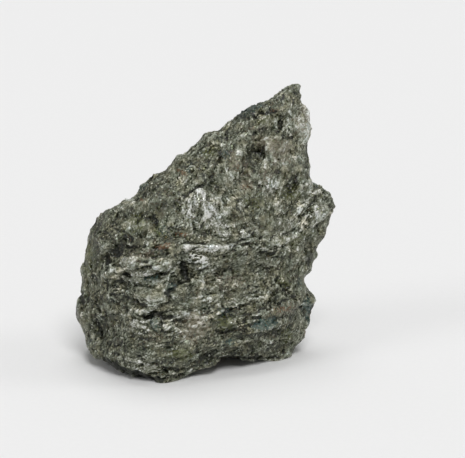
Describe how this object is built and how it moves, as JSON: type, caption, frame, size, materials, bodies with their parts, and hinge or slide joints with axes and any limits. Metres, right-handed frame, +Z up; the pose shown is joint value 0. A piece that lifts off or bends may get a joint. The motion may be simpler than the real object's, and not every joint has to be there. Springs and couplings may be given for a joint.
{
  "type": "ferrokesterite specimen",
  "caption": "Rough wedge-shaped specimen of massive grey-green sulphide ore, banded and broken into ledges, pointed at the upper right, standing on its flat foot.",
  "frame": {"origin": "middle of the specimen's bounding box, on the plane that it rests on", "axes": "+Z up, +X to the right across the broad front, +Y from the front to the back"},
  "size_m": [0.0548, 0.0318, 0.0567],
  "materials": {
    "ferrokesterite": "rough broken surface with fine metallic glints"
  },
  "bodies": {
    "root": {"ferrokesterite": "ferrokesterite"}
  },
  "joints": []
}
